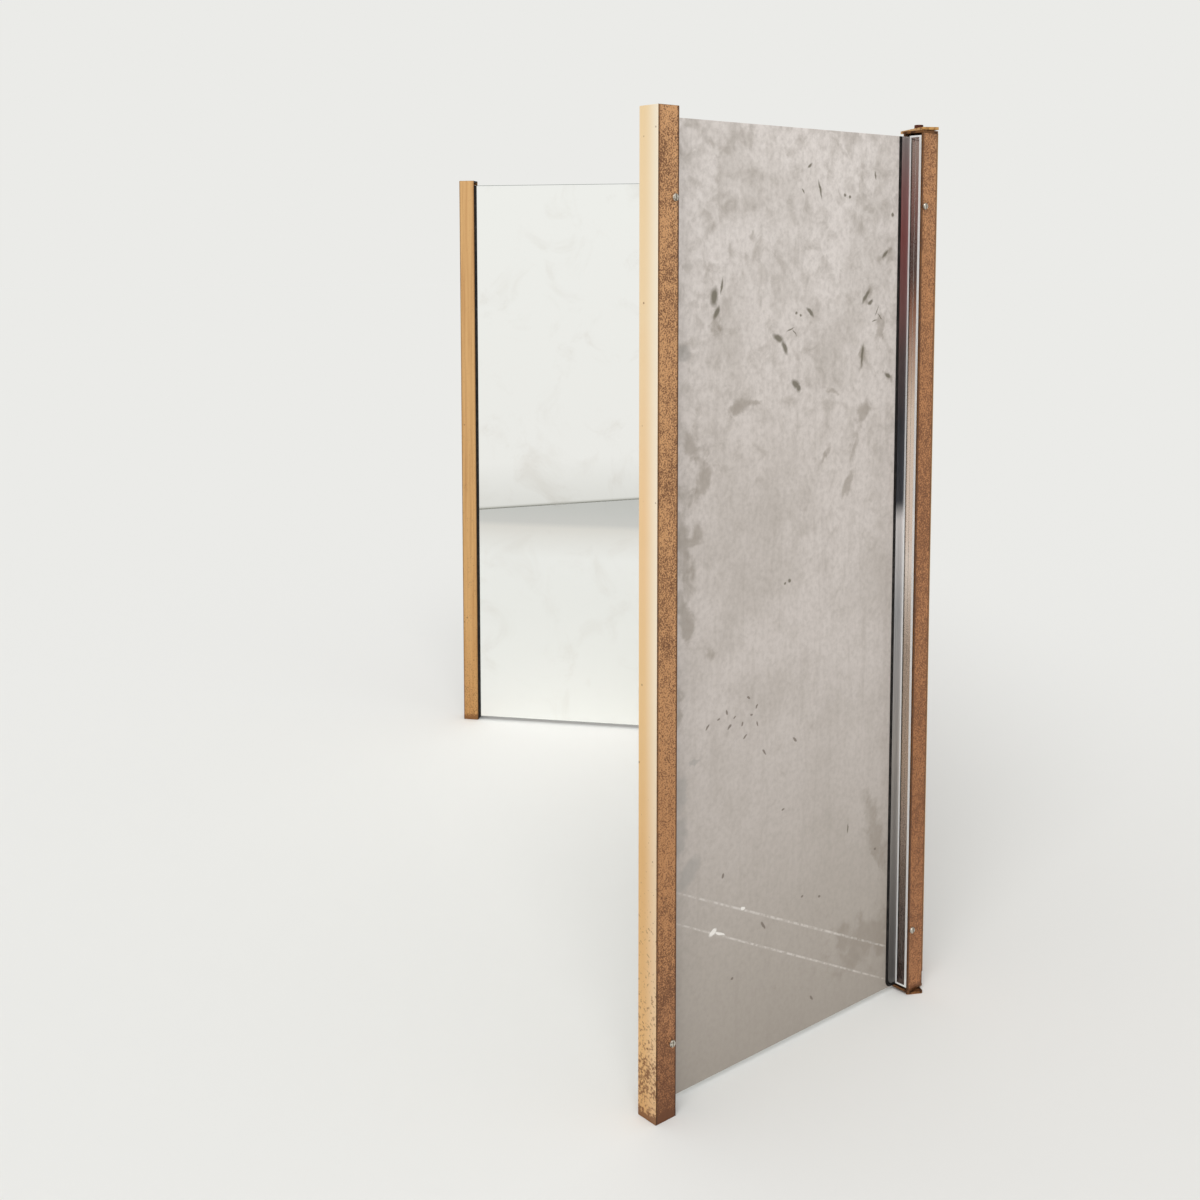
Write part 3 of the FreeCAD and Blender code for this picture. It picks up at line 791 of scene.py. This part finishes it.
world = bpy.data.worlds.new("pale surround")
world.use_nodes = True
tree = world.node_tree
tree.nodes.clear()
path = wire(tree, "LightPath", {})
seen = wire(tree, "Math", {0: path.outputs["Is Camera Ray"], 1: path.outputs["Is Glossy Ray"]},
            operation="MAXIMUM").outputs[0]
seen = wire(tree, "Math", {0: seen, 1: path.outputs["Is Transmission Ray"]}, operation="MAXIMUM").outputs[0]
lit = wire(tree, "Background", {"Color": (1, 1, 1, 1), "Strength": ambient}).outputs[0]
shown = wire(tree, "Background", {"Color": colour(backdrop_colour), "Strength": 1.0}).outputs[0]
both = wire(tree, "MixShader", {0: seen, 1: lit, 2: shown}).outputs[0]
wire(tree, "OutputWorld", {"Surface": both})
bpy.context.scene.world = world

lamp_data = bpy.data.lights.new("soft_lamp", "SUN")
lamp_data.angle = lamp_spread
lamp_data.energy = (1 - ambient) * math.pi / math.sin(lamp_lift)
lamp = bpy.data.objects.new("soft_lamp", lamp_data)
lamp.rotation_euler = (math.pi / 2 - lamp_lift, 0, math.pi + lamp_turn)
bpy.context.scene.collection.objects.link(lamp)


# Flats round the set. Painted boards that only reflections show: a pale wall with a shadow at its
# foot for the far wing, and a brown board for the chrome.

wall_left = (0.410, -1.548)
wall_right = (1.738, -0.601)
wall_top = 3.0
shadow_lift = 0.0006
shadow_near_left = (0.35, -0.55)
shadow_near_right = (1.05, -0.30)
shadow_edge = Vector((0.781, -1.030, shadow_lift))
shadow_across = Vector((0.933, -0.359, 0.0))
board_left = (2.08, -0.93)
board_right = (2.28, -0.48)
board_top = 1.05


def flat(name, corners, kind, direction, stops):
    """A board, seen by reflections alone, whose colour runs along one direction."""
    material = bpy.data.materials.new(name)
    material.use_nodes = True
    tree = material.node_tree
    tree.nodes.clear()
    spot = wire(tree, "TexCoord", {}).outputs["Object"]
    along = wire(tree, "VectorMath", {0: spot, 1: direction}, operation="DOT_PRODUCT").outputs["Value"]
    paint = wire(tree, kind, {"Color": shades_along(tree, along, stops)}).outputs[0]
    wire(tree, "OutputMaterial", {"Surface": paint})
    shape = bmesh.new()
    shape.faces.new([shape.verts.new(corner) for corner in corners])
    mesh = bpy.data.meshes.new(name)
    shape.to_mesh(mesh)
    shape.free()
    mesh.materials.append(material)
    board = bpy.data.objects.new(name, mesh)
    bpy.context.scene.collection.objects.link(board)
    board.visible_camera = False
    board.visible_diffuse = False
    board.visible_transmission = False
    board.visible_shadow = False


def upright(left, right, top):
    """Corners of a board that stands on the floor between two points."""
    return ((*left, 0), (*right, 0), (*right, top), (*left, top))


# Pale plaster that glows evenly, with a dark line where it meets the floor.
flat("pale_wall", upright(wall_left, wall_right, wall_top), "Emission", (0, 0, 1),
     ((0.0, "#66665a"), (0.002, "#8c8b80"), (0.005, "#dddcd8"), (0.12, "#ecebe8"), (1.0, "#f0f0ed")))

# The shadow is a sheet just above the floor that takes some light away beyond its soft edge.
shadow_start = shadow_edge.dot(shadow_across)
shadow_outline = (wall_left, wall_right, shadow_near_right, shadow_near_left)
flat("wall_shadow", [(*corner, shadow_lift) for corner in shadow_outline], "BsdfTransparent", shadow_across,
     [(shadow_start + reach, code) for reach, code in
      ((-0.40, "#ffffff"), (-0.16, "#f4f2f0"), (-0.05, "#edeae7"), (0.02, "#dcdbda"), (0.20, "#d6d6d5"),
       (0.60, "#cfcfce"))])

# A board that glows with a painted reflection for the chrome: pale low down, brown, darkest at a
# little over half its height, and paler again at the top.
flat("brown_board", upright(board_left, board_right, board_top), "Emission", (0, 0, 1),
     ((0.30, "#e6ded6"), (0.38, "#c9b8ac"), (0.45, "#b59e92"), (0.53, "#96705f"), (0.60, "#5f504f"),
      (0.66, "#5f5352"), (0.77, "#8b6a66"), (0.90, "#a89c95"), (1.05, "#c8c2bd")))


# Camera. A little below the top of the mirror, beside the right wing, with the lens shifted so
# that the uprights stay upright.

camera_place = Vector((1.50224, -0.39263, 0.64017))
camera_turn = math.radians(78.82)
camera_dip = math.radians(5.0)
camera_roll = math.radians(-0.14)
camera_film_mm = 36.0
camera_lens_mm = 43.61
camera_shift = (0.0207, -0.1760)
camera_near = 0.01

camera_data = bpy.data.cameras.new("camera")
camera_data.sensor_width = camera_film_mm
camera_data.lens = camera_lens_mm
camera_data.shift_x, camera_data.shift_y = camera_shift
camera_data.clip_start = camera_near
camera = bpy.data.objects.new("camera", camera_data)
aim = Matrix.Rotation(camera_turn, 3, "Z") @ Matrix.Rotation(math.pi / 2 - camera_dip, 3, "X")
camera.location = camera_place
camera.rotation_euler = (aim @ Matrix.Rotation(camera_roll, 3, "Z")).to_euler()
bpy.context.scene.collection.objects.link(camera)
bpy.context.scene.camera = camera
bpy.context.scene.view_settings.view_transform = "Standard"
